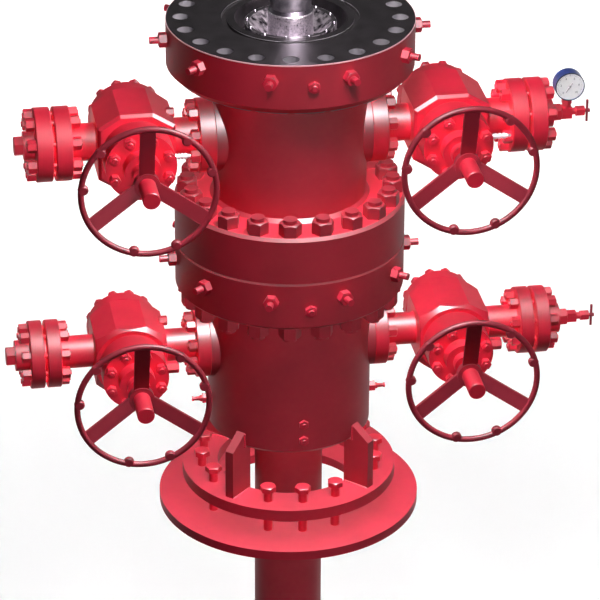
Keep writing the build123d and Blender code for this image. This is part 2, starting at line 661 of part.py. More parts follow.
def gauge_dial():
    """The dial plate inside the case."""
    disc = outward(Cylinder(GAUGE_R - GAUGE_RIM_T - HANGER_FIT, DIAL_T,
                            align=(Align.CENTER, Align.CENTER, Align.MIN)))
    return Pos(gauge_axis_x(), GAUGE_FRONT + DIAL_DEPTH, upper.height + GAUGE_CENTRE_UP) * disc


def save(shape, name):
    """Writes one node to its own file."""
    export_step(shape, os.path.join("parts", name + ".step"))


os.makedirs("parts", exist_ok=True)
save(surface_casing(), "surface_casing")
save(base_plate(), "base_plate")
save(landing_ring(), "landing_ring")
save(levelling_bolts(), "levelling_bolts")
save(landing_gussets(), "landing_gussets")
save(casing_head(), "casing_head")
save(casing_spool(), "casing_spool")
save(ring_gasket(), "ring_gasket")
save(middle_studs(), "middle_studs")
save(lockdown_screws(MID_FLANGE_R, HEAD_FACE - LOCK_DROP), "head_lockdown_screws")
save(lockdown_screws(TOP_FLANGE_R, TOP_FACE - LOCK_DROP), "spool_lockdown_screws")
save(casing_hanger(), "casing_hanger")
save(inner_casing(), "inner_casing")
save(casing_coupling(), "casing_coupling")
save(rear_covers(), "rear_covers")
for level, arm in (("upper", upper), ("lower", lower)):
    for hand, side in (("left", -1), ("right", 1)):
        label = level + "_" + hand
        save(valve_body(arm, side), label + "_valve_body")
        save(bonnet(arm, side), label + "_bonnet")
        save(handwheel(arm, side), label + "_handwheel")
        save(stem_cap(arm, side), label + "_stem_cap")
        save(end_flange(arm, side), label + "_end_flange")
save(end_plug(upper, -1), "upper_left_plug")
save(end_plug(lower, -1), "lower_left_plug")
save(needle_valve(upper) + gauge_neck(), "upper_needle_valve")
save(needle_valve(lower), "lower_needle_valve")
save(needle_handle(upper), "upper_needle_handle")
save(needle_handle(lower), "lower_needle_handle")
save(gauge_case(), "gauge_case")
save(gauge_dial(), "gauge_dial")
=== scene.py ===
# %% [markdown]
# # An oil wellhead valve stack
# The metal bodies come from the CAD frame. This script gives them their paint and metal, adds
# the small things that CAD left out, such as nuts, fittings and the gauge's face, and lights
# everything on a pale floor. All lengths are in metres.

# %% Load the frame
import bpy
import math
import random
from mathutils import Matrix, Vector


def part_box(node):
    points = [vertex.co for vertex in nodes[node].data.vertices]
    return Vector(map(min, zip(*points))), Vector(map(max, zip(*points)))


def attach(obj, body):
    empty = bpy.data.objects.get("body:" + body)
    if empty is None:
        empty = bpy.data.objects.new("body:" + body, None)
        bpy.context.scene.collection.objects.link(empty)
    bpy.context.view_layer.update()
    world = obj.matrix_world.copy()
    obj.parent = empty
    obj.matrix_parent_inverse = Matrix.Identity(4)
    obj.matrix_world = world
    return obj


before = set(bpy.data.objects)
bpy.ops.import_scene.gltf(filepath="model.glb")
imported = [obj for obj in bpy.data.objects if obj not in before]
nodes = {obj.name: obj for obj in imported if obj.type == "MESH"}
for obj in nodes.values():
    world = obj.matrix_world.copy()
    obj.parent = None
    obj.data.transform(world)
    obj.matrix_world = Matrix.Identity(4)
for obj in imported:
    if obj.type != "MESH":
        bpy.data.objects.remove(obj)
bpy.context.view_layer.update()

# %% [markdown]
# ## Places that many pieces share
# A wellhead is stacked on one vertical axis, so most places are a height and a distance from
# that axis. They are read from the frame's own boxes wherever a box gives them, so a piece
# still sits on its carrier after the CAD has changed.

# %% Heights and arms
MM = 0.001
TOP_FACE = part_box("casing_spool")[1].z
ARM_NAMES = [level + "_" + hand for level in ("upper", "lower") for hand in ("left", "right")]
FLANGE_T = {"upper": 51 * MM, "lower": 44 * MM}


def side_of(arm):
    """-1 for a left arm and +1 for a right one."""
    return -1 if arm.endswith("left") else 1


def middle(node):
    """The middle of a CAD node's box."""
    low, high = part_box(node)
    return (low + high) / 2


arm_axis = {arm: middle(arm + "_bonnet") for arm in ARM_NAMES}
for arm, place in arm_axis.items():
    print(arm, "valve axis x", round(place.x, 3), "height", round(place.z, 3))

# %% [markdown]
# ## Camera
# The photograph looks down on the wellhead from the front and a little from the left, from
# about eleven metres away. A long lens keeps the verticals nearly straight, as they are there.
# The well is not quite in the middle of the picture, which the lens shift follows.

# %% Camera
AZIMUTH = math.radians(-9.42)
ELEVATION = math.radians(26.81)
ROLL = math.radians(0.276)
DISTANCE = 11.267
AIM_BELOW_FACE = 0.95
FOCAL_IN_PICTURES = 3538 / 600
SHIFT_X = 10.8 / 600
SHIFT_Y = -6.7 / 600
SENSOR_MM = 36
SEE_UP_TO = 100


def turned_camera(azimuth, elevation, roll, distance, aim):
    """A camera that looks at a point from an azimuth and elevation."""
    back = Vector((math.sin(azimuth) * math.cos(elevation),
                   -math.cos(azimuth) * math.cos(elevation), math.sin(elevation)))
    bpy.ops.object.select_all(action="DESELECT")
    bpy.ops.object.camera_add(location=aim + back * distance)
    camera = bpy.context.object
    camera.name = "photo_camera"
    camera.rotation_mode = "QUATERNION"
    aimed = (-back).to_track_quat("-Z", "Y")
    camera.rotation_quaternion = (
        aimed.to_matrix() @ Matrix.Rotation(roll, 3, "Z")).to_quaternion()
    return camera


camera = turned_camera(AZIMUTH, ELEVATION, ROLL, DISTANCE,
                       Vector((0, 0, TOP_FACE - AIM_BELOW_FACE)))
camera.data.sensor_width = SENSOR_MM
camera.data.lens = SENSOR_MM * FOCAL_IN_PICTURES
camera.data.shift_x = SHIFT_X
camera.data.shift_y = SHIFT_Y
camera.data.clip_end = SEE_UP_TO
bpy.context.scene.camera = camera
print("camera at", [round(v, 2) for v in camera.location])

# %% [markdown]
# ## Light and floor
# The photograph has bright tops, dark lower fronts and highlights that all point to one place
# a little above and in front of the well. So the main lamp hangs there. It casts no shadow
# and has no falloff, and a weaker one in the same place does cast one. A third lamp close by
# makes highlights only, and a wide one behind the well brightens the tops. The floor and the
# sky are white only where the camera or a mirror sees them, and don't light the red sides.

# %% Lamps
KEY_PLACE = (0.06, -0.85, 2.75)
SHINE_PLACE = (0.18, -0.63, 2.60)
BACK_PLACE = (0.0, 5.5, 3.0)
LAMP_AIM = (0, 0, 1.2)
KEY_SIZE = 0.15
SOFT_SIZE = 0.30
BACK_SIZE = 2.5
KEY_POWER = 37
SOFT_POWER = 11
SHINE_POWER = 1400
SHINE_TINT = (1.0, 0.88, 0.92)
BACK_POWER = 60


def place_lamp(name, kind, place, size, power):
    """A lamp of a size at a place, facing the middle of the object."""
    bpy.ops.object.select_all(action="DESELECT")
    bpy.ops.object.light_add(type=kind, location=place)
    lamp = bpy.context.object
    lamp.name = name
    lamp.data.energy = power
    if kind == "AREA":
        lamp.data.size = size
        aim = Vector(LAMP_AIM) - Vector(place)
        lamp.rotation_euler = aim.to_track_quat("-Z", "Y").to_euler()
    else:
        lamp.data.shadow_soft_size = size
    return lamp


def even_out(lamp):
    """Makes a near lamp light the lower arms as much as the upper ones."""
    lamp.data.use_nodes = True
    tree = lamp.data.node_tree
    falloff = tree.nodes.new("ShaderNodeLightFalloff")
    falloff.inputs["Strength"].default_value = 1.0
    tree.links.new(falloff.outputs["Constant"], tree.nodes["Emission"].inputs["Strength"])
    return lamp


key_lamp = even_out(place_lamp("key_lamp", "POINT", KEY_PLACE, KEY_SIZE, KEY_POWER))
key_lamp.data.use_shadow = False
even_out(place_lamp("soft_lamp", "POINT", KEY_PLACE, SOFT_SIZE, SOFT_POWER))
shine_lamp = even_out(place_lamp("shine_lamp", "POINT", SHINE_PLACE, KEY_SIZE, SHINE_POWER))
shine_lamp.data.use_shadow = False
shine_lamp.visible_diffuse = False
shine_lamp.data.color = SHINE_TINT
back_lamp = place_lamp("back_lamp", "AREA", BACK_PLACE, BACK_SIZE, BACK_POWER)
back_lamp.visible_glossy = False
print("lamp powers", KEY_POWER, SOFT_POWER, SHINE_POWER, BACK_POWER)

# %% Sky
AMBIENT = 0.025
ZENITH = 0.12
WHITE_UP_TO = 0.01
DARK_FROM = 0.16

world = bpy.data.worlds.new("studio")
bpy.context.scene.world = world
world.use_nodes = True
sky = world.node_tree
sky.nodes.clear()


def mirror_rays(tree, path):
    """1 for the rays by which metal and glass see their surroundings."""
    mirrored = tree.nodes.new("ShaderNodeMath")
    mirrored.operation = "MAXIMUM"
    tree.links.new(path.outputs["Is Glossy Ray"], mirrored.inputs[0])
    tree.links.new(path.outputs["Is Transmission Ray"], mirrored.inputs[1])
    return mirrored.outputs[0]


def blend(tree, share, low, high):
    """A number that goes from low to high by a share, each a socket or a number."""
    node = tree.nodes.new("ShaderNodeMix")
    tree.links.new(share, node.inputs["Factor"])
    for name, value in (("A", low), ("B", high)):
        if isinstance(value, (int, float)):
            node.inputs[name].default_value = value
        else:
            tree.links.new(value, node.inputs[name])
    return node.outputs["Result"]


def spread_value(tree, value, low, high, start=0.0, end=1.0):
    """A number that goes from low to high as a value goes from start to end."""
    node = tree.nodes.new("ShaderNodeMapRange")
    node.inputs["From Min"].default_value = start
    node.inputs["From Max"].default_value = end
    node.inputs["To Min"].default_value = low
    node.inputs["To Max"].default_value = high
    tree.links.new(value, node.inputs["Value"])
    return node.outputs["Result"]


sky_path = sky.nodes.new("ShaderNodeLightPath")
direction = sky.nodes.new("ShaderNodeTexCoord")
upward = sky.nodes.new("ShaderNodeSeparateXYZ")
sky.links.new(direction.outputs["Generated"], upward.inputs["Vector"])
dome = spread_value(sky, upward.outputs["Z"], 1.0, ZENITH, WHITE_UP_TO, DARK_FROM)
mirrored_sky = blend(sky, mirror_rays(sky, sky_path), AMBIENT, dome)
seen_sky = blend(sky, sky_path.outputs["Is Camera Ray"], mirrored_sky, 1.0)
background = sky.nodes.new("ShaderNodeBackground")
background.inputs["Color"].default_value = (1, 1, 1, 1)
out = sky.nodes.new("ShaderNodeOutputWorld")
sky.links.new(seen_sky, background.inputs["Strength"])
sky.links.new(background.outputs[0], out.inputs["Surface"])
print("sky light on the object", AMBIENT, "and overhead in mirrors", ZENITH)

# %% Floor
FLOOR_SIZE = 60.0
FLOOR_NEAR = 0.68
FLOOR_FAR = 1.0
NEAR_UP_TO = 1.2
FAR_FROM = 4.0
FLOOR_MIRRORED = 0.92
FLOOR_SHADE = 0.35
FLOOR_BOUNCE = 0.05

bpy.ops.object.select_all(action="DESELECT")
bpy.ops.mesh.primitive_plane_add(size=FLOOR_SIZE, location=(0, 0, 0))
floor = bpy.context.object
floor.name = "floor"
floor_paint = bpy.data.materials.new("pale_floor")
floor_paint.use_nodes = True
floor_tree = floor_paint.node_tree
floor_shader = floor_tree.nodes["Principled BSDF"]
floor_shader.inputs["Roughness"].default_value = 1.0
floor_shader.inputs["Specular IOR Level"].default_value = 0.0
floor_shader.inputs["Emission Color"].default_value = (1, 1, 1, 1)
floor_path = floor_tree.nodes.new("ShaderNodeLightPath")
floor_place = floor_tree.nodes.new("ShaderNodeTexCoord")
floor_reach = floor_tree.nodes.new("ShaderNodeVectorMath")
floor_reach.operation = "LENGTH"
floor_tree.links.new(floor_place.outputs["Object"], floor_reach.inputs[0])
floor_tone = spread_value(floor_tree, floor_reach.outputs["Value"], FLOOR_NEAR, FLOOR_FAR,
                          NEAR_UP_TO, FAR_FROM)
floor_glow = blend(floor_tree, floor_path.outputs["Is Camera Ray"],
                   blend(floor_tree, mirror_rays(floor_tree, floor_path), 0.0, FLOOR_MIRRORED),
                   floor_tone)
floor_tree.links.new(floor_glow, floor_shader.inputs["Emission Strength"])
floor_seen = blend(floor_tree, floor_path.outputs["Is Camera Ray"], FLOOR_BOUNCE, FLOOR_SHADE)
floor_tree.links.new(floor_seen, floor_shader.inputs["Base Color"])
floor.data.materials.append(floor_paint)
bpy.context.scene.view_settings.view_transform = "Standard"
print("floor at the casing's lower end")

# %% [markdown]
# ## Red enamel
# The bodies, valves and plates are steel under red enamel. Real enamel is never one flat
# colour: it is sprayed over a slightly rough casting, so it carries a fine orange peel, and
# its tone and gloss drift a little from place to place. Noise in Object coordinates gives
# all three, because it runs through every piece in one scale without any unwrapping.

# %% Texture helpers
def noise(tree, scale, detail=2.0):
    """A noise texture in Object coordinates."""
    place = tree.nodes.new("ShaderNodeTexCoord")
    texture = tree.nodes.new("ShaderNodeTexNoise")
    texture.inputs["Scale"].default_value = scale
    texture.inputs["Detail"].default_value = detail
    tree.links.new(place.outputs["Object"], texture.inputs["Vector"])
    return texture.outputs["Fac"]


def ramp(tree, value, low, high, start=0.35, end=0.65):
    """A colour that goes from low to high as a value goes from start to end."""
    node = tree.nodes.new("ShaderNodeValToRGB")
    node.color_ramp.elements[0].position = start
    node.color_ramp.elements[1].position = end
    node.color_ramp.elements[0].color = low
    node.color_ramp.elements[1].color = high
    tree.links.new(value, node.inputs["Fac"])
    return node.outputs["Color"]


def mix(tree, share, low, high):
    """Mixes two colours by a share."""
    node = tree.nodes.new("ShaderNodeMix")
    node.data_type = "RGBA"
    tree.links.new(share, node.inputs["Factor"])
    for socket, colour in (("A", low), ("B", high)):
        target = [s for s in node.inputs if s.name == socket and s.type == "RGBA"][0]
        if isinstance(colour, tuple):
            target.default_value = colour
        else:
            tree.links.new(colour, target)
    return [s for s in node.outputs if s.type == "RGBA"][0]


def bump(tree, shader, height, distance, strength=0.5):
    """A bump on the shader's normal from a height value."""
    node = tree.nodes.new("ShaderNodeBump")
    node.inputs["Distance"].default_value = distance
    node.inputs["Strength"].default_value = strength
    tree.links.new(height, node.inputs["Height"])
    tree.links.new(node.outputs["Normal"], shader.inputs["Normal"])


def new_material(name):
    """An empty node material, its node tree and its shader."""
    material = bpy.data.materials.new(name)
    material.use_nodes = True
    return material, material.node_tree, material.node_tree.nodes["Principled BSDF"]


print("texture helpers ready")

# %% Enamels
PEEL_PER_M = 700
DRIFT_PER_M = 5
PAINT_GLOSS = 0.13
WHEEL_GLOSS = 0.06
# The bodies' red is a darker copy of the valves' red: painted shade on the tall walls.
SHADED_BODY_DEEP = (0.38, 0.008, 0.024, 1)
SHADED_BODY_BRIGHT = (0.47, 0.012, 0.032, 1)


def enamel(name, deep, bright, rough_low, rough_high, peel, gloss=PAINT_GLOSS):
    """Sprayed enamel: a drifting tone, uneven gloss and orange peel."""
    material, tree, shader = new_material(name)
    tone = ramp(tree, noise(tree, DRIFT_PER_M, 4.0), deep, bright)
    grain = noise(tree, PEEL_PER_M, 3.0)
    tree.links.new(tone, shader.inputs["Base Color"])
    tree.links.new(spread_value(tree, grain, rough_low, rough_high), shader.inputs["Roughness"])
    shader.inputs["Specular IOR Level"].default_value = gloss
    bump(tree, shader, grain, peel)
    return material


valve_red = enamel("valve_red_enamel", (0.78, 0.006, 0.034, 1), (0.90, 0.010, 0.046, 1),
                   0.40, 0.50, 0.00005)
plate_red = enamel("plate_red_enamel", (0.57, 0.008, 0.034, 1), (0.66, 0.012, 0.044, 1),
                   0.42, 0.54, 0.00006)
# A darker copy of the red enamel, as painted shade on the bodies' walls and the studs under the
# middle flange.
painted_shade_red = enamel("painted_shade_red_enamel", SHADED_BODY_DEEP, SHADED_BODY_BRIGHT, 0.42, 0.54, 0.00006)
wheel_red = enamel("wheel_red_enamel", (0.34, 0.016, 0.036, 1), (0.46, 0.024, 0.048, 1),
                   0.46, 0.58, 0.00005, WHEEL_GLOSS)
print("enamels:", valve_red.name, plate_red.name, painted_shade_red.name, wheel_red.name)

# %% [markdown]
# ## Bare and blackened steel
# The top flange's face is machined and blackened against rust, while its wall is painted
# like the rest. One material makes both: it reads the height and the distance from the
# well's axis in Object coordinates, and turns to black on the face. Turning leaves fine rings
# round the axis, which are a wave made from the same distance.

# %% Steel materials
def axis_distance(tree):
    """The distance of the surface from the well's axis."""
    place = tree.nodes.new("ShaderNodeTexCoord")
    flat = tree.nodes.new("ShaderNodeVectorMath")
    flat.operation = "MULTIPLY"
    flat.inputs[1].default_value = (1, 1, 0)
    length = tree.nodes.new("ShaderNodeVectorMath")
    length.operation = "LENGTH"
    tree.links.new(place.outputs["Object"], flat.inputs[0])
    tree.links.new(flat.outputs["Vector"], length.inputs[0])
    return length.outputs["Value"]


def height_of(tree):
    """The height of the surface."""
    place = tree.nodes.new("ShaderNodeTexCoord")
    parts = tree.nodes.new("ShaderNodeSeparateXYZ")
    tree.links.new(place.outputs["Object"], parts.inputs["Vector"])
    return parts.outputs["Z"]


def maths(tree, operation, first, second):
    """One sum on two values, each a socket or a number."""
    node = tree.nodes.new("ShaderNodeMath")
    node.operation = operation
    for slot, value in enumerate((first, second)):
        if isinstance(value, (int, float)):
            node.inputs[slot].default_value = value
        else:
            tree.links.new(value, node.inputs[slot])
    return node.outputs[0]


def above(tree, value, limit):
    """1 where a value is over a limit, and 0 elsewhere."""
    return maths(tree, "GREATER_THAN", value, limit)


def under(tree, value, limit):
    """1 where a value is under a limit, and 0 elsewhere."""
    return maths(tree, "LESS_THAN", value, limit)


def all_of(tree, *masks):
    """1 where every mask is 1."""
    result = masks[0]
    for mask in masks[1:]:
        result = maths(tree, "MULTIPLY", result, mask)
    return result


def steel(name, deep, bright, rough_low, rough_high):
    """Bare steel with an uneven finish and a fine turned grain."""
    material, tree, shader = new_material(name)
    patch = noise(tree, 40, 4.0)
    shader.inputs["Metallic"].default_value = 1.0
    tree.links.new(ramp(tree, patch, deep, bright), shader.inputs["Base Color"])
    tree.links.new(spread_value(tree, patch, rough_low, rough_high), shader.inputs["Roughness"])
    bump(tree, shader, noise(tree, 600, 2.0), 0.00004)
    return material


pipe_steel = steel("pipe_steel", (0.09, 0.085, 0.10, 1), (0.17, 0.16, 0.18, 1), 0.28, 0.36)
plated_steel = steel("plated_steel", (0.30, 0.20, 0.22, 1), (0.50, 0.38, 0.40, 1), 0.30, 0.45)
print("steels:", pipe_steel.name, plated_steel.name)

# %% The upper body's paint, black on its top face
RINGS_PER_M = 900
FULL_TURN = 6.283
FACE_EDGE = 1.5 * MM
HOLE_CIRCLE = 336.5 * MM
HOLE_REACH = 26.5 * MM
GROOVE_R = 214 * MM
GROOVE_BRIGHT = 3.5 * MM
BORE_REACH = 190 * MM
FLANGE_DEPTH = 170 * MM
TOP_R = 384 * MM
RIM_HIGHLIGHT_DEPTH = 4.0 * MM
LEDGE_TOP = TOP_FACE - 585 * MM
LEDGE_SKIN = 1.5 * MM
LEDGE_INNER = 243 * MM
LEDGE_BEVEL = 10 * MM
MID_R = 362 * MM
BLACK_DEEP = (0.008, 0.007, 0.008, 1)
BLACK_BRIGHT = (0.018, 0.016, 0.018, 1)
HOLE_STEEL = (0.24, 0.22, 0.25, 1)
# The groove's upper wall is bare steel grey, made pale as a painted highlight.
GROOVE_STEEL_AND_HIGHLIGHT = (0.42, 0.39, 0.42, 1)
GROOVE_DARK = (0.02, 0.018, 0.02, 1)
# Painted light: the lower flange's top is a brighter red than the walls of the same body.
LEDGE_LIT_RED = (0.80, 0.010, 0.040, 1)
# A painted highlight: a pale pink band along the top flange's outer edge.
RIM_HIGHLIGHT_PINK = (0.72, 0.40, 0.44, 1)


def top_masks(tree, reach, height):
    """Where the black face, the holes, the groove with its painted highlight and the rim's painted
    highlight are.
    """
    on_face = above(tree, height, TOP_FACE - FACE_EDGE)
    in_flange = above(tree, height, TOP_FACE - FLANGE_DEPTH)
    in_hole = all_of(tree, under(tree, reach, HOLE_CIRCLE + HOLE_REACH),
                     above(tree, reach, HOLE_CIRCLE - HOLE_REACH), in_flange)
    black = maths(tree, "MAXIMUM", on_face,
                  all_of(tree, under(tree, reach, BORE_REACH), in_flange))
    # The groove's upper wall: bare steel with a painted highlight.
    groove_steel_and_highlight = all_of(tree, under(tree, reach, GROOVE_R), above(tree, reach, BORE_REACH),
                       above(tree, height, TOP_FACE - GROOVE_BRIGHT))
    deep = all_of(tree, under(tree, reach, GROOVE_R), in_flange)
    # The top flange's outer edge carries a painted highlight.
    rim_highlight = all_of(tree, above(tree, reach, TOP_R - FACE_EDGE),
                    above(tree, height, TOP_FACE - RIM_HIGHLIGHT_DEPTH))
    return black, in_hole, groove_steel_and_highlight, deep, rim_highlight


def ledge_masks(tree, reach, height):
    """Where the lower flange's top, painted lighter as painted light, and its bevel are."""
    under_top = under(tree, height, LEDGE_TOP + LEDGE_SKIN)
    # The lower flange's top, painted lighter as painted light.
    lit_ledge = all_of(tree, above(tree, reach, LEDGE_INNER),
                   above(tree, height, LEDGE_TOP - LEDGE_SKIN), under_top)
    bevel = all_of(tree, above(tree, reach, MID_R - LEDGE_BEVEL),
                   above(tree, height, LEDGE_TOP - LEDGE_BEVEL), under_top)
    return lit_ledge, bevel


def spool_paint():
    """Red enamel with painted shade and painted highlights, blackened steel on the top face, bare
    steel in the holes.
    """
    material, tree, shader = new_material("spool_red_and_black")
    grain = noise(tree, PEEL_PER_M, 3.0)
    reach = axis_distance(tree)
    height = height_of(tree)
    black, in_hole, groove_steel_and_highlight, deep, rim_highlight = top_masks(tree, reach, height)
    lit_ledge, bevel = ledge_masks(tree, reach, height)

    # The spool's walls take the darker red as painted shade.
    tone = ramp(tree, noise(tree, DRIFT_PER_M, 4.0), SHADED_BODY_DEEP, SHADED_BODY_BRIGHT)
    tone = mix(tree, in_hole, tone, HOLE_STEEL)
    tone = mix(tree, deep, tone, GROOVE_DARK)
    # Bare steel with a painted highlight on the groove's upper wall.
    tone = mix(tree, groove_steel_and_highlight, tone, GROOVE_STEEL_AND_HIGHLIGHT)
    tone = mix(tree, black, tone, ramp(tree, noise(tree, 22, 5.0), BLACK_DEEP, BLACK_BRIGHT))
    # The lower flange's top is painted lighter as painted light.
    tone = mix(tree, lit_ledge, tone, LEDGE_LIT_RED)
    # The pale pink band on the top flange's outer edge is a painted highlight.
    tone = mix(tree, rim_highlight, tone, RIM_HIGHLIGHT_PINK)
    tree.links.new(tone, shader.inputs["Base Color"])

    turns_out = maths(tree, "MULTIPLY", reach, RINGS_PER_M * FULL_TURN)
    rings = maths(tree, "SINE", turns_out, 0)
    rough = blend(tree, black, spread_value(tree, grain, 0.42, 0.54),
                  spread_value(tree, rings, 0.34, 0.48, -1.0, 1.0))
    dulled = maths(tree, "ADD", rough, maths(tree, "MULTIPLY", bevel, 0.20))
    tree.links.new(dulled, shader.inputs["Roughness"])
    tree.links.new(maths(tree, "MULTIPLY", black, 0.6), shader.inputs["Metallic"])
    shader.inputs["Specular IOR Level"].default_value = PAINT_GLOSS
    bump(tree, shader, grain, 0.00006)
    return material


spool_material = spool_paint()
print("top face black above", round(TOP_FACE - FACE_EDGE, 4))

# %% Paints of the hanger, the coupling and the gauge
BOWL_R = 128 * MM
HANGER_R = 141 * MM
WORN_EDGE = 1 * MM
COUPLING_TOP = 12 * MM
GAUGE_RIM = 2.2 * MM
GAUGE_BACK = 5 * MM
GAUGE_STEM = 8.5 * MM


def hanger_paint():
    """Blackened steel, with the bowl, its slips and the outer wall left bright."""
    material, tree, shader = new_material("hanger_steel")
    wear = noise(tree, 45, 6.0)
    bright = ramp(tree, wear, (0.06, 0.055, 0.065, 1), (0.50, 0.47, 0.51, 1), 0.42, 0.58)
    dark = ramp(tree, wear, (0.012, 0.011, 0.013, 1), (0.05, 0.045, 0.05, 1))
    reach = axis_distance(tree)
    bare = maths(tree, "MAXIMUM", under(tree, reach, BOWL_R - WORN_EDGE),
                 above(tree, reach, HANGER_R - FACE_EDGE))
    tree.links.new(mix(tree, bare, dark, bright), shader.inputs["Base Color"])
    tree.links.new(spread_value(tree, wear, 0.22, 0.36), shader.inputs["Roughness"])
    tree.links.new(spread_value(tree, bare, 0.3, 1.0), shader.inputs["Metallic"])
    bump(tree, shader, wear, 0.0002)
    return material


def gauge_paint():
    """Blue enamel on the gauge's case, with a dark rim and a plated stem."""
    material, tree, shader = new_material("gauge_case_enamel")
    low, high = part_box("gauge_case")
    grain = noise(tree, 300, 3.0)
    blue = ramp(tree, noise(tree, 30, 3.0), (0.020, 0.045, 0.26, 1), (0.045, 0.10, 0.48, 1))
    rim = ramp(tree, grain, (0.012, 0.016, 0.040, 1), (0.020, 0.026, 0.060, 1))
    plated = ramp(tree, grain, (0.50, 0.30, 0.32, 1), (0.72, 0.50, 0.52, 1))
    place = tree.nodes.new("ShaderNodeTexCoord")
    parts = tree.nodes.new("ShaderNodeSeparateXYZ")
    tree.links.new(place.outputs["Object"], parts.inputs["Vector"])
    on_rim = maths(tree, "MAXIMUM", under(tree, parts.outputs["Y"], low.y + GAUGE_RIM),
                   above(tree, parts.outputs["Y"], high.y - GAUGE_BACK))
    on_stem = under(tree, parts.outputs["Z"], low.z + GAUGE_STEM)
    cased = mix(tree, on_rim, blue, rim)
    tree.links.new(mix(tree, on_stem, cased, plated), shader.inputs["Base Color"])
    tree.links.new(spread_value(tree, grain, 0.25, 0.35), shader.inputs["Roughness"])
    shader.inputs["Specular IOR Level"].default_value = 0.3
    bump(tree, shader, grain, 0.00003)
    return material


def dial_paint():
    """The dial's white enamel, hardly shiny."""
    material, tree, shader = new_material("dial_white_enamel")
    tone = ramp(tree, noise(tree, 90, 3.0), (0.92, 0.92, 0.94, 1), (0.97, 0.97, 0.98, 1))
    tree.links.new(tone, shader.inputs["Base Color"])
    rough = spread_value(tree, noise(tree, 400, 2.0), 0.45, 0.55)
    tree.links.new(rough, shader.inputs["Roughness"])
    shader.inputs["Specular IOR Level"].default_value = 0.1
    return material


def coupling_paint():
    """Worn steel, dark on the coupling's top end and bright along its outer edge."""
    material, tree, shader = new_material("coupling_worn_steel")
    wear = noise(tree, 160, 4.0)
    low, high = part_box("casing_coupling")
    outer = (high.x - low.x) / 2
    side_tone = ramp(tree, wear, (0.24, 0.225, 0.25, 1), (0.42, 0.39, 0.43, 1))
    top = all_of(tree, above(tree, height_of(tree), high.z - COUPLING_TOP),
                 under(tree, axis_distance(tree), outer - FACE_EDGE))
    tree.links.new(mix(tree, top, side_tone, (0.05, 0.045, 0.055, 1)), shader.inputs["Base Color"])
    tree.links.new(spread_value(tree, wear, 0.24, 0.34), shader.inputs["Roughness"])
    shader.inputs["Metallic"].default_value = 1.0
    bump(tree, shader, wear, 0.0001)
    return material


print("the hanger is bare inside", round(BOWL_R - WORN_EDGE, 4), "m of the axis")

# %% Paint the CAD nodes
# These nodes take the darker red as painted shade, the studs under the middle flange among them.
PAINTED_SHADE_NODES = ("surface_casing", "casing_head", "landing_gussets", "middle_studs")
PLATE_NODES = ("base_plate", "landing_ring", "head_lockdown_screws", "spool_lockdown_screws")
OWN_PAINT = {"casing_spool": spool_material, "casing_hanger": hanger_paint(),
             "inner_casing": pipe_steel, "casing_coupling": coupling_paint(),
             "ring_gasket": pipe_steel, "gauge_case": gauge_paint(), "gauge_dial": dial_paint()}


def paint(piece, material):
    """Gives a piece one material all over."""
    piece.data.materials.clear()
    piece.data.materials.append(material)


for name, node in nodes.items():
    if name in OWN_PAINT:
        paint(node, OWN_PAINT[name])
    elif name in PAINTED_SHADE_NODES:
        paint(node, painted_shade_red)
    elif name in PLATE_NODES:
        paint(node, plate_red)
    elif name.endswith("handwheel") or name.endswith("needle_handle"):
        paint(node, wheel_red)
    else:
        paint(node, valve_red)
print("painted", len(nodes), "CAD nodes")

# %% [markdown]
# ## Turning and cutting with Blender's own tools
# Nuts, plugs and fittings are turned or hexagonal. A turned piece starts as a disc that is
# extruded and scaled from step to step, as a lathe would cut it. A hexagon starts as a
# six-sided cylinder, and a turned form of the same height is intersected with it, which
# rounds the corners at both ends just as a real nut's chamfer does.

# %% Turned pieces
def turned(name, steps, sides=24):
    """A turned piece on the Z axis, from (radius, height) steps."""
    bpy.ops.object.select_all(action="DESELECT")
    radius, height = steps[0]
    bpy.ops.mesh.primitive_circle_add(vertices=sides, radius=radius, fill_type="NGON")
    piece = bpy.context.object
    piece.name = name
    bpy.ops.object.mode_set(mode="EDIT")
    bpy.ops.mesh.select_all(action="SELECT")
    bpy.ops.transform.translate(value=(0, 0, height))
    for next_radius, next_height in steps[1:]:
        bpy.ops.mesh.extrude_region_move(
            TRANSFORM_OT_translate={"value": (0, 0, next_height - height)})
        ratio = next_radius / radius
        bpy.ops.transform.resize(value=(ratio, ratio, 1), center_override=(0, 0, next_height))
        radius, height = next_radius, next_height
    bpy.ops.mesh.select_all(action="SELECT")
    bpy.ops.mesh.normals_make_consistent(inside=False)
    bpy.ops.object.mode_set(mode="OBJECT")
    return piece


def join(name, pieces):
    """Joins pieces into one."""
    bpy.ops.object.select_all(action="DESELECT")
    for piece in pieces:
        piece.select_set(True)
    bpy.context.view_layer.objects.active = pieces[0]
    if len(pieces) > 1:
        bpy.ops.object.join()
    pieces[0].name = name
    return pieces[0]


def cut(piece, tool, operation):
    """Applies a Boolean with a tool piece, and removes the tool."""
    bpy.ops.object.select_all(action="DESELECT")
    piece.select_set(True)
    bpy.context.view_layer.objects.active = piece
    bpy.ops.object.modifier_add(type="BOOLEAN")
    modifier = piece.modifiers[-1]
    modifier.operation = operation
    modifier.object = tool
    bpy.ops.object.modifier_apply(modifier=modifier.name)
    bpy.data.objects.remove(tool)
    return piece


def drop(piece):
    """Removes a master once its copies are made."""
    bpy.data.objects.remove(piece)


print("turning helpers ready")

# %% Hexagons and thread
NUT_FACE_SHARE = 0.95
NUT_BEVEL = math.tan(math.radians(30))
THREAD_PITCH = 3.0 * MM
THREAD_DEPTH = 0.9 * MM


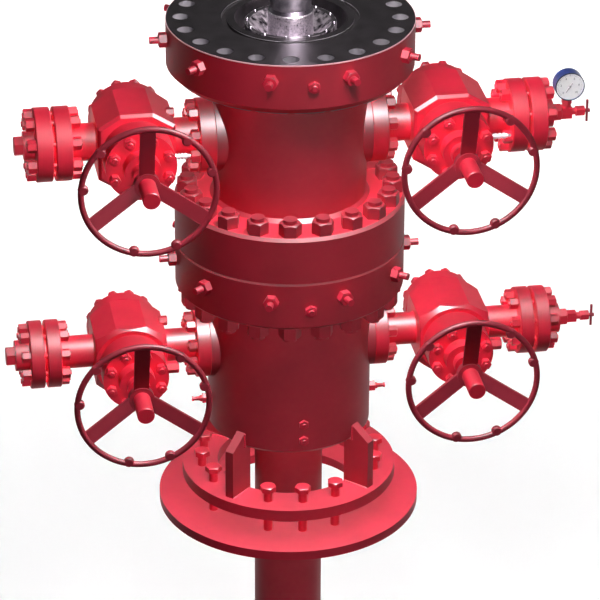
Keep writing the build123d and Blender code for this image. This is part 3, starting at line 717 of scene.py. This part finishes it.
def hexagon(name, across_flats, low, high):
    """A hexagon between two heights, with turned corners at both ends."""
    corner = across_flats / 2 / math.cos(math.radians(30))
    face = across_flats / 2 * NUT_FACE_SHARE
    cut_back = (corner - face) * NUT_BEVEL
    crown = turned("crown", [(face, low), (corner * 1.01, low + cut_back),
                             (corner * 1.01, high - cut_back), (face, high)], 36)
    bpy.ops.object.select_all(action="DESELECT")
    bpy.ops.mesh.primitive_cylinder_add(vertices=6, radius=corner, depth=high - low,
                                        location=(0, 0, (low + high) / 2))
    prism = bpy.context.object
    prism.name = name
    bpy.ops.object.transform_apply(location=True, rotation=True, scale=True)
    return cut(prism, crown, "INTERSECT")


def threaded(name, radius, low, high, sides=16):
    """A stud end with real thread ridges and a bevelled tip."""
    steps = [(radius - THREAD_DEPTH, low)]
    height = low
    while height + THREAD_PITCH < high - THREAD_PITCH / 2:
        steps.append((radius, height + THREAD_PITCH * 0.35))
        steps.append((radius - THREAD_DEPTH, height + THREAD_PITCH * 0.85))
        height += THREAD_PITCH
    steps.append((radius - THREAD_DEPTH, high - THREAD_DEPTH))
    steps.append((radius - 2 * THREAD_DEPTH, high))
    return turned(name, steps, sides)


def nut_on_stud(name, across_flats, height, stud_r, proud):
    """A nut on the XY plane with a threaded stud end through it."""
    nut = hexagon("nut", across_flats, 0.0, height)
    stud = threaded("stud_end", stud_r, height - THREAD_PITCH, height + proud)
    return join(name, [nut, stud])


print("a nut has its corners turned back", round((1 - NUT_FACE_SHARE) * 100),
      "% of its half width")

# %% Setting copies out
RIGHT = Matrix.Rotation(math.radians(90), 4, "Y")
LEFT = Matrix.Rotation(math.radians(-90), 4, "Y")
FRONT = Matrix.Rotation(math.radians(90), 4, "X")
BACK = Matrix.Rotation(math.radians(-90), 4, "X")
UP = Matrix.Identity(4)
turns = random.Random(7)


def at(place, facing=UP):
    """The place and direction of a piece that was modelled on +Z."""
    return Matrix.Translation(place) @ facing


def on_circle(place, facing, radius, count, start):
    """Places on a bolt circle, each turned a little differently, as spanners leave nuts."""
    spots = []
    for k in range(count):
        angle = math.radians(start + 360 / count * k)
        own_turn = math.radians(turns.uniform(0, 60))
        spots.append(at(place, facing) @ Matrix.Rotation(angle, 4, "Z")
                     @ Matrix.Translation((radius, 0, 0)) @ Matrix.Rotation(own_turn, 4, "Z"))
    return spots


def set_out(master, spots):
    """A copy of a master at each spot, each with its own mesh."""
    copies = []
    for spot in spots:
        bpy.ops.object.select_all(action="DESELECT")
        master.select_set(True)
        bpy.context.view_layer.objects.active = master
        bpy.ops.object.duplicate(linked=False)
        copy = bpy.context.object
        copy.data.transform(spot)
        copies.append(copy)
    return copies


def finish_piece(name, pieces, material, body, angle=35):
    """Joins pieces, smooths their round faces, paints them and gives them a body."""
    piece = join(name, pieces)
    bpy.ops.object.shade_smooth_by_angle(angle=math.radians(angle))
    paint(piece, material)
    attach(piece, body)
    print(name, len(piece.data.polygons), "faces")
    return piece


# %% [markdown]
# ## Nuts of the arms
# Each arm is bolted to the body by eight studs, and its far end is closed by a second pair of
# flanges with eight more. Here a nut and the end of its stud are modelled once for each size
# and set out on their circles. An array modifier would be shorter, but copies can each be
# turned differently, which a row of real nuts always is.

# %% Arm joints
JOINT_NUT = {"upper": (36.5 * MM, 28 * MM, 10 * MM), "lower": (33 * MM, 27 * MM, 9 * MM)}
JOINT_CIRCLE = {"upper": 92 * MM, "lower": 82.5 * MM}
STUD_PROUD = 3.5 * MM
JOINT_GAP = 9 * MM
STUD_COUNT = 8
HALF_STEP = 180 / STUD_COUNT

for level in ("upper", "lower"):
    across_flats, nut_height, stud_r = JOINT_NUT[level]
    circle = JOINT_CIRCLE[level]
    master = nut_on_stud("master_nut", across_flats, nut_height, stud_r, STUD_PROUD)
    shank = threaded("shank", stud_r, -3 * THREAD_PITCH, JOINT_GAP + 3 * THREAD_PITCH)
    for hand in ("left", "right"):
        arm = level + "_" + hand
        side = side_of(arm)
        low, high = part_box(arm + "_valve_body")
        inner, outer = (high.x, low.x) if side < 0 else (low.x, high.x)
        axis_z = arm_axis[arm].z
        away, towards = (RIGHT, LEFT) if side > 0 else (LEFT, RIGHT)
        spots = on_circle((inner + side * FLANGE_T[level], 0, axis_z), away, circle,
                          STUD_COUNT, HALF_STEP)
        spots += on_circle((outer - side * FLANGE_T[level], 0, axis_z), towards, circle,
                           STUD_COUNT, HALF_STEP)
        spots += on_circle((outer + side * (JOINT_GAP + FLANGE_T[level]), 0, axis_z), away, circle,
                           STUD_COUNT, HALF_STEP)
        shanks = set_out(shank, on_circle((outer, 0, axis_z), away, circle, STUD_COUNT, HALF_STEP))
        finish_piece(arm + "_joint_nuts", set_out(master, spots) + shanks, valve_red, "wellhead")
    drop(master)
    drop(shank)

# %% [markdown]
# ## Bonnet and rear cover nuts
# The bonnet closes the front of the valve and carries the stem, and the round cover closes
# its back. The bonnet is held by eight studs and the cover by twelve close to its edge.

# %% Bonnet nuts
BONNET_NUT = {"upper": (32 * MM, 22 * MM, 10 * MM), "lower": (30 * MM, 20 * MM, 9 * MM)}
BONNET_CIRCLE = {"upper": 90 * MM, "lower": 85 * MM}
COVER_CIRCLE = {"upper": 105 * MM, "lower": 98.5 * MM}
COVER_COUNT = 12
BONNET_FACE = -212 * MM
COVER_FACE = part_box("rear_covers")[1].y

for level in ("upper", "lower"):
    across_flats, nut_height, stud_r = BONNET_NUT[level]
    master = nut_on_stud("master_nut", across_flats, nut_height, stud_r, STUD_PROUD)
    for hand in ("left", "right"):
        arm = level + "_" + hand
        axis = arm_axis[arm]
        front = on_circle((axis.x, BONNET_FACE, axis.z), FRONT, BONNET_CIRCLE[level],
                          STUD_COUNT, HALF_STEP)
        back = on_circle((axis.x, COVER_FACE, axis.z), BACK, COVER_CIRCLE[level],
                         COVER_COUNT, 180 / COVER_COUNT)
        finish_piece(arm + "_bonnet_nuts", set_out(master, front), valve_red, "wellhead")
        finish_piece(arm + "_cover_nuts", set_out(master, back), valve_red, "wellhead")
    drop(master)

# %% [markdown]
# ## Grease fittings and test plugs
# A fitting for grease sits on the right of each valve: a ridged, plated one on the upper valves
# and a plain hexagon on the lower ones. Either side of the casing head has a hexagon with a
# slim waisted nipple. The plugs on the fronts of the bodies are short hexagons with a small
# vent stem.

# %% Fittings
SUNK = 4 * MM


def grease_fitting(name, across_flats, hex_length, stem_r, length):
    """A hexagon with a waisted nipple that ends in a lip."""
    base = hexagon("fitting_hex", across_flats, -SUNK, hex_length)
    stem = turned("nipple", [
        (stem_r * 1.5, hex_length - 2 * MM), (stem_r * 1.5, hex_length + length * 0.15),
        (stem_r, hex_length + length * 0.30), (stem_r * 0.85, hex_length + length * 0.80),
        (stem_r * 1.15, hex_length + length * 0.86), (stem_r * 1.15, hex_length + length * 0.97),
        (stem_r * 0.7, hex_length + length)], 20)
    return join(name, [base, stem])


def ridged_fitting(name, radius, length, ridges):
    """A round fitting with wide ridges and a small nipple."""
    steps = [(radius * 1.05, -SUNK)]
    pitch = length * 0.8 / ridges
    for k in range(ridges):
        low = k * pitch
        steps += [(radius, low), (radius, low + pitch * 0.62), (radius * 0.76, low + pitch * 0.70),
                  (radius * 0.76, low + pitch * 0.94)]
    steps += [(radius * 0.8, length * 0.8), (radius * 0.55, length * 0.86),
              (radius * 0.55, length * 0.96), (radius * 0.35, length)]
    return turned(name, steps, 28)


FITTING_Y = -150 * MM
RIDGED_R = 9.5 * MM
RIDGES = 4
PLAIN_FLATS = 34 * MM
PLAIN_LENGTH = 38 * MM
RIDGED_LENGTH = {"upper_left": 50 * MM, "upper_right": 68 * MM}
for arm in ARM_NAMES:
    axis = arm_axis[arm]
    low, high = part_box(arm + "_bonnet")
    bonnet_r = (high.x - low.x) / 2
    spot = at((axis.x + bonnet_r, FITTING_Y, axis.z), RIGHT)
    if arm in RIDGED_LENGTH:
        fitting = ridged_fitting(arm + "_grease_fitting", RIDGED_R, RIDGED_LENGTH[arm], RIDGES)
        fitting.data.transform(spot)
        finish_piece(arm + "_grease_fitting", [fitting], plated_steel, "wellhead")
    else:
        fitting = hexagon(arm + "_grease_fitting", PLAIN_FLATS, -SUNK, PLAIN_LENGTH)
        fitting.data.transform(spot)
        finish_piece(arm + "_grease_fitting", [fitting], valve_red, "wellhead")

# %% Shoulder plugs of the left valves
SHOULDER_PLUG = {"upper_left": (-21 * MM, 91 * MM), "lower_left": (1 * MM, 88 * MM)}
SHOULDER_OUT = 100 * MM
SHOULDER_FLATS = 27 * MM
SHOULDER_LENGTH = 26 * MM

for arm, (plug_y, plug_up) in SHOULDER_PLUG.items():
    axis = arm_axis[arm]
    plug = hexagon(arm + "_shoulder_plug", SHOULDER_FLATS, 0, SHOULDER_LENGTH)
    plug.data.transform(at((axis.x + SHOULDER_OUT, plug_y, axis.z + plug_up), RIGHT))
    finish_piece(arm + "_shoulder_plug", [plug], valve_red, "wellhead")

# %% Head fittings and plugs
HEAD_R = 260 * MM
HEAD_FITTING_Z = 800 * MM
HEAD_PLUG_Z = (821 * MM, 763 * MM)
MID_PLUG_Z = 1276 * MM
TOP_PLUG_Z = 2036 * MM
PLUG_ANGLE = 1.2
STEM_EDGE = 1 * MM


def on_wall(radius, degrees, height):
    """A place on an upright round wall, 0 degrees in front and turning to the right."""
    turn = Matrix.Rotation(math.radians(degrees), 4, "Z")
    return turn @ at((0, -radius, height), FRONT)


head_fitting = grease_fitting("master_fitting", 32 * MM, 22 * MM, 7 * MM, 34 * MM)
both_sides = [on_wall(HEAD_R, angle, HEAD_FITTING_Z) for angle in (90, -90)]
finish_piece("head_fittings", set_out(head_fitting, both_sides), valve_red, "wellhead")
drop(head_fitting)


def test_plug(name, across_flats, height, stem_r, stem_height):
    """A short hexagon plug with a small stem in its middle."""
    base = hexagon("plug_hex", across_flats, -SUNK, height)
    top = height + stem_height
    stem = turned("plug_stem", [(stem_r, height - STEM_EDGE), (stem_r, top - STEM_EDGE),
                                (stem_r - STEM_EDGE, top)], 20)
    return join(name, [base, stem])


port_plug = test_plug("master_plug", 34 * MM, 14 * MM, 9 * MM, 6 * MM)
ports = [on_wall(TOP_R, PLUG_ANGLE, TOP_PLUG_Z), on_wall(MID_R, PLUG_ANGLE, MID_PLUG_Z)]
finish_piece("flange_test_plugs", set_out(port_plug, ports), plate_red, "wellhead")
drop(port_plug)
small_plug = test_plug("master_plug", 28 * MM, 10 * MM, 7 * MM, 3 * MM)
plug_places = [on_wall(HEAD_R, PLUG_ANGLE, height) for height in HEAD_PLUG_Z]
finish_piece("head_plugs", set_out(small_plug, plug_places), plate_red, "wellhead")
drop(small_plug)

# %% [markdown]
# ## Face of the gauge
# The dial carries a scale over three quarters of a turn, plain numbers and a pointer. The
# ticks are thin bars set out on a circle, the numbers are text turned into mesh, and the
# pointer is a tapered bar on a small round hub. All of it fits under the rim of the case.

# %% Gauge face
SCALE_TURN = 270
SCALE_STEPS = 40
LONG_EACH = 4
NUMBER_EACH = 2
TICKS_AT = 0.88
NUMBERS_AT = 0.66
NUMBER_SIZE = 10 * MM
INK_PROUD = 0.1 * MM
POINTER_AT = 213
POINTER_PROUD = 1.7 * MM
NECK_Y = -3 * MM
GAUGE_TO_NUT = 72 * MM

dial_low, dial_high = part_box("gauge_dial")
dial_middle = (dial_low + dial_high) / 2
dial_r = (dial_high.x - dial_low.x) / 2
dial_face = dial_low.y


def ink(name, tone):
    """Printing ink, a little uneven."""
    material, tree, shader = new_material(name)
    spots = noise(tree, 900, 2.0)
    paler = tuple(min(1.0, c * 1.3) for c in tone) + (1,)
    tree.links.new(ramp(tree, spots, tone + (1,), paler), shader.inputs["Base Color"])
    tree.links.new(spread_value(tree, spots, 0.5, 0.6), shader.inputs["Roughness"])
    return material


def on_dial(degrees, radius, proud):
    """A place on the dial, at degrees clockwise from its top, facing the reader."""
    turn = Matrix.Rotation(math.radians(degrees), 4, "Y")
    centre = Matrix.Translation((dial_middle.x, dial_face - proud, dial_middle.z))
    return centre @ turn @ Matrix.Translation((0, 0, radius))


def scale_angle(step):
    """The angle of a step of the scale, clockwise from the dial's top."""
    return step / SCALE_STEPS * SCALE_TURN - SCALE_TURN / 2


def scale_tick(length, width):
    """A flat tick with bevelled edges, along +Z and just proud of the dial."""
    bpy.ops.object.select_all(action="DESELECT")
    bpy.ops.mesh.primitive_cube_add(size=1)
    tick = bpy.context.object
    bpy.ops.object.mode_set(mode="EDIT")
    bpy.ops.mesh.select_all(action="SELECT")
    bpy.ops.transform.resize(value=(width, 0.3 * MM, length))
    bpy.ops.mesh.bevel(offset=0.05 * MM, segments=1)
    bpy.ops.object.mode_set(mode="OBJECT")
    return tick


scale_ink = ink("scale_ink", (0.10, 0.10, 0.13))
ticks = []
long_tick = scale_tick(5 * MM, 0.8 * MM)
short_tick = scale_tick(3 * MM, 0.5 * MM)
for k in range(SCALE_STEPS + 1):
    master = short_tick if k % LONG_EACH else long_tick
    ticks += set_out(master, [on_dial(scale_angle(k), dial_r * TICKS_AT, INK_PROUD)])
drop(long_tick)
drop(short_tick)
finish_piece("gauge_scale", ticks, scale_ink, "wellhead")

numbers = []
for k in range(0, SCALE_STEPS // LONG_EACH + 1, NUMBER_EACH):
    bpy.ops.object.select_all(action="DESELECT")
    bpy.ops.object.text_add()
    number = bpy.context.object
    number.data.body = str(k)
    number.data.size = NUMBER_SIZE
    number.data.align_x = "CENTER"
    number.data.align_y = "CENTER"
    number.data.extrude = INK_PROUD
    number.data.resolution_u = 3
    bpy.ops.object.convert(target="MESH")
    spot = on_dial(scale_angle(k * LONG_EACH), dial_r * NUMBERS_AT, INK_PROUD).translation
    number.data.transform(at(spot, FRONT))
    numbers.append(number)
finish_piece("gauge_numbers", numbers, scale_ink, "wellhead")

gauge_nut = hexagon("gauge_nut", 29.5 * MM, 0, 17 * MM)
gauge_nut.data.transform(at((dial_middle.x, NECK_Y, dial_middle.z - GAUGE_TO_NUT)))
finish_piece("gauge_nut", [gauge_nut], valve_red, "wellhead")

pointer_black = ink("pointer_black", (0.02, 0.02, 0.025))
pointer = turned("pointer_bar", [(0.7 * MM, -14 * MM), (1.5 * MM, -7 * MM), (1.7 * MM, 4 * MM),
                                 (0.5 * MM, 24 * MM)], 6)
pointer.data.transform(on_dial(POINTER_AT, 0, POINTER_PROUD))
hub = turned("pointer_hub", [(3.2 * MM, 0), (3.2 * MM, 2.2 * MM), (2.6 * MM, 2.7 * MM)], 24)
hub.data.transform(at((dial_middle.x, dial_face, dial_middle.z), FRONT))
finish_piece("gauge_pointer", [pointer, hub], pointer_black, "wellhead")

# %% [markdown]
# ## Screws and welds
# Small cap screws hold the slips in the hanger's bowl. The four upright plates are welded to
# the ring and to the casing head. A weld bead is a row of overlapping ripples, so each one is
# turned as a slim bar whose radius rises and falls, and half of it sinks into the steel.

# %% Hanger screws
BOWL_RIM_R = 134.5 * MM
HANGER_DROP = 14 * MM
CAP_SCREWS = 12
FIRST_SCREW = 15

cap_screw = turned("cap_screw", [(4.0 * MM, -1 * MM), (4.0 * MM, 3.5 * MM), (3.3 * MM, 4.5 * MM),
                                 (2.2 * MM, 4.5 * MM), (2.2 * MM, 2 * MM)], 18)
screw_spots = on_circle((0, 0, TOP_FACE - HANGER_DROP), UP, BOWL_RIM_R, CAP_SCREWS,
                        FIRST_SCREW)
finish_piece("hanger_screws", set_out(cap_screw, screw_spots), pipe_steel, "wellhead")
drop(cap_screw)

# %% Welds of the upright plates
BEAD_R = 4 * MM
RIPPLE = 7 * MM
RING_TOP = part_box("landing_ring")[1].z
HEAD_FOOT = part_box("casing_head")[0].z
GUSSET_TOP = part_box("landing_gussets")[1].z
GUSSET_HALF = 15 * MM
GUSSET_IN = 232 * MM
GUSSET_OUT = 322 * MM


def weld_bead(name, length):
    """A rippled bead along +Z."""
    steps = [(BEAD_R * 0.5, 0)]
    height = 0.0
    while height + RIPPLE < length:
        steps += [(BEAD_R * 0.86, height + RIPPLE * 0.15), (BEAD_R * 1.08, height + RIPPLE * 0.5),
                  (BEAD_R * 0.92, height + RIPPLE * 0.95)]
        height += RIPPLE
    steps.append((BEAD_R * 0.4, length))
    return turned(name, steps, 12)


foot_bead = weld_bead("foot_bead", GUSSET_OUT - GUSSET_IN)
wall_bead = weld_bead("wall_bead", GUSSET_TOP - HEAD_FOOT - 2 * MM)
beads = []
for quarter in range(4):
    turn = Matrix.Rotation(math.radians(45 + 90 * quarter), 4, "Z")
    for side in (-1, 1):
        beads += set_out(foot_bead, [turn @ at((side * GUSSET_HALF, -GUSSET_IN, RING_TOP), FRONT)])
        beads += set_out(wall_bead, [turn @ at((side * GUSSET_HALF, -HEAD_R, HEAD_FOOT), UP)])
drop(foot_bead)
drop(wall_bead)
finish_piece("upright_plate_welds", beads, plate_red, "wellhead")
